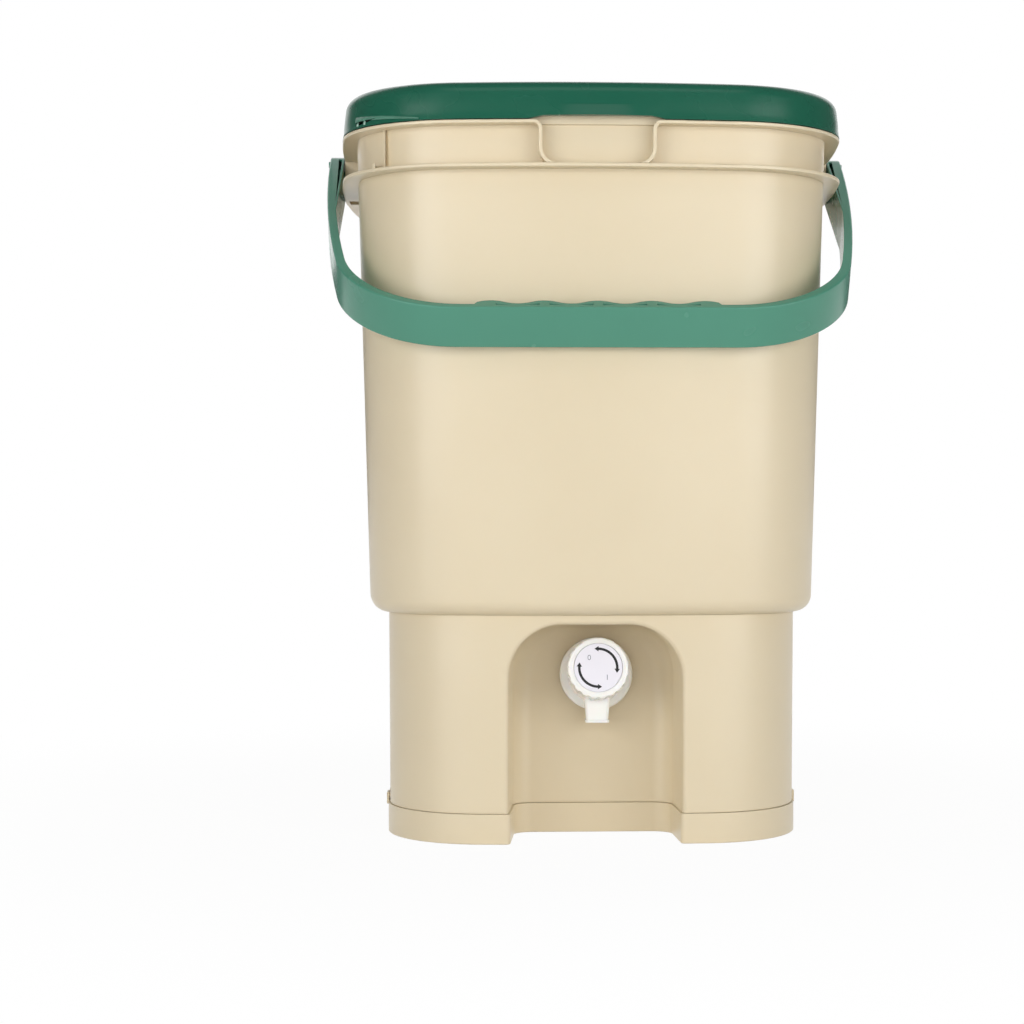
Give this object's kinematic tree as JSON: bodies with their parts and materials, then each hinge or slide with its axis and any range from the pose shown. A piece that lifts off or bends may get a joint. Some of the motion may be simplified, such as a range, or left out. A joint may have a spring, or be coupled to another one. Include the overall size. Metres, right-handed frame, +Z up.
{
  "type": "kitchen compost bin with tap",
  "caption": "Tapered kitchen fermenting bin: rounded-square pail on a foot ring, lift-off lid, swinging bail handle, and a drain tap set in an arched niche.",
  "frame": {"origin": "on the floor below the middle of the object's box, with the bail hanging in front; the pail's own axis is 4.2 mm behind it", "axes": "+Z up, +X to the right seen from the front, -Y towards the front, where the tap is"},
  "size_m": [0.3096, 0.3277, 0.413],
  "materials": {
    "pail": "injection-moulded polypropylene, beige, satin",
    "lid": "injection-moulded polypropylene, dark green, satin",
    "bail": "injection-moulded polypropylene, green, satin",
    "tap": "injection-moulded polypropylene, white, smooth",
    "dial": "printed disc, white with two black arrows",
    "grate": "injection-moulded polypropylene, beige, satin",
    "rubber": "black moulded rubber"
  },
  "bodies": {
    "pail": {"bucket_base": "pail", "bucket_wall": "pail", "bucket_collar": "pail", "base_ring": "pail", "tap_body": "tap", "tap_outer_washer": "rubber", "tap_inner_washer": "rubber", "tap_lock_nut": "tap"},
    "lid": {"lid": "lid", "lid_gasket": "rubber"},
    "bail": {"bail_handle": "bail"},
    "knob": {"tap_knob": "tap", "tap_dial_disc": "dial", "tap_plug": "tap", "tap_o_ring": "rubber"},
    "grate": {"drain_grate": "grate"}
  },
  "joints": [
    {"name": "lid_lift", "type": "slide", "parent": "pail", "child": "lid", "axis": [0, 0, 1], "range_m": [0, 0.15]},
    {"name": "bail_swing", "type": "hinge", "parent": "pail", "child": "bail", "pos_m": [0, 0.00422, 0.3815], "axis": [-1, 0, 0], "range_deg": [0, 244.2]},
    {"name": "knob_turn", "type": "hinge", "parent": "pail", "child": "knob", "pos_m": [0.002, -0.10287, 0.09284], "axis": [0, -0.9816, 0.1908], "range_deg": [0, 90]},
    {"name": "grate_lift", "type": "slide", "parent": "pail", "child": "grate", "axis": [0, 0, 1], "range_m": [0, 0.24]}
  ]
}
